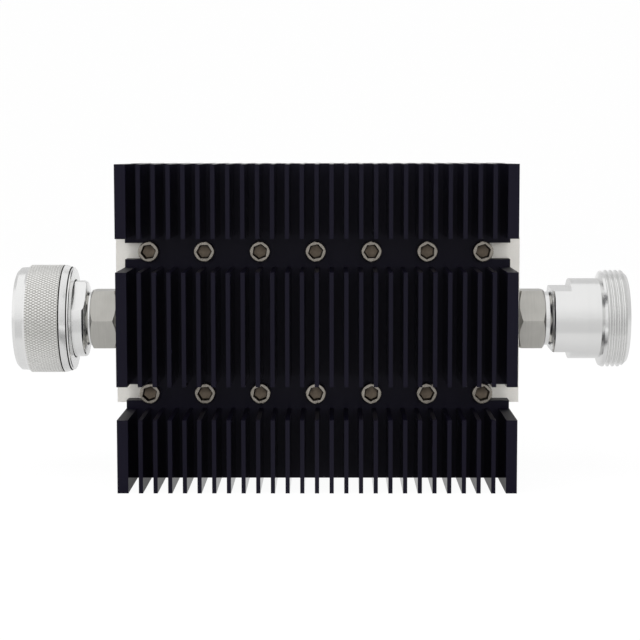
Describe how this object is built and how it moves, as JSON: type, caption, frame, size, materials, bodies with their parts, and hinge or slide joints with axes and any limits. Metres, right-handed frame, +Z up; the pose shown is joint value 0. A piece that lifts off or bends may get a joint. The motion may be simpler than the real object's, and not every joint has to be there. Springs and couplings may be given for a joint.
{
  "type": "rf attenuator",
  "caption": "High-power coaxial attenuator: flat housing clamped between two finned heatsinks, with a knurled screw-coupled plug on one end and a threaded jack on the other.",
  "frame": {"origin": "middle of the overall length and depth, on the plane of the lower fin ends that it stands on", "axes": "+X along the connectors from plug to jack, +Y from the front heatsink to the rear one, +Z up along the fins"},
  "size_m": [0.1816, 0.0728, 0.0928],
  "materials": {
    "housing_aluminium": "bead-blasted, clear passivated",
    "black_anodised": "black anodised extrusion, satin",
    "screw_steel": "stainless, satin",
    "copper": "bare copper, milled",
    "chip_ceramic": "fired ceramic",
    "silver_ribbon": "silver-plated foil",
    "bushing_steel": "turned and milled, passivated",
    "bright_plating": "turned brass, bright white plating",
    "silver_plating": "turned, silver plated",
    "white_insulator": "machined fluoroplastic",
    "gasket_silicone": "moulded silicone"
  },
  "bodies": {
    "attenuator": {"housing": "housing_aluminium", "cavity_cover": "housing_aluminium", "cover_screws": "screw_steel", "front_heatsink": "black_anodised", "rear_heatsink": "black_anodised", "front_cap_screws": "screw_steel", "rear_cap_screws": "screw_steel", "chip_carrier": "copper", "carrier_screws": "screw_steel", "input_chip": "chip_ceramic", "middle_chip": "chip_ceramic", "output_chip": "chip_ceramic", "input_link": "silver_ribbon", "output_link": "silver_ribbon", "input_tab": "silver_ribbon", "output_tab": "silver_ribbon", "plug_bushing": "bushing_steel", "plug_line_insulator": "white_insulator", "plug_body": "bright_plating", "plug_bead": "white_insulator", "plug_pin": "silver_plating", "plug_gasket": "gasket_silicone", "plug_retaining_ring": "screw_steel", "jack_bushing": "bushing_steel", "jack_line_insulator": "white_insulator", "jack_body": "bright_plating", "jack_bead": "white_insulator", "jack_socket": "silver_plating"},
    "coupling_nut": {"plug_coupling_nut": "bright_plating"}
  },
  "joints": [
    {"name": "coupling_nut_spin", "type": "hinge", "parent": "attenuator", "child": "coupling_nut", "pos_m": [-0.08192, 0, 0.0464], "axis": [-1, 0, 0], "continuous": true}
  ]
}
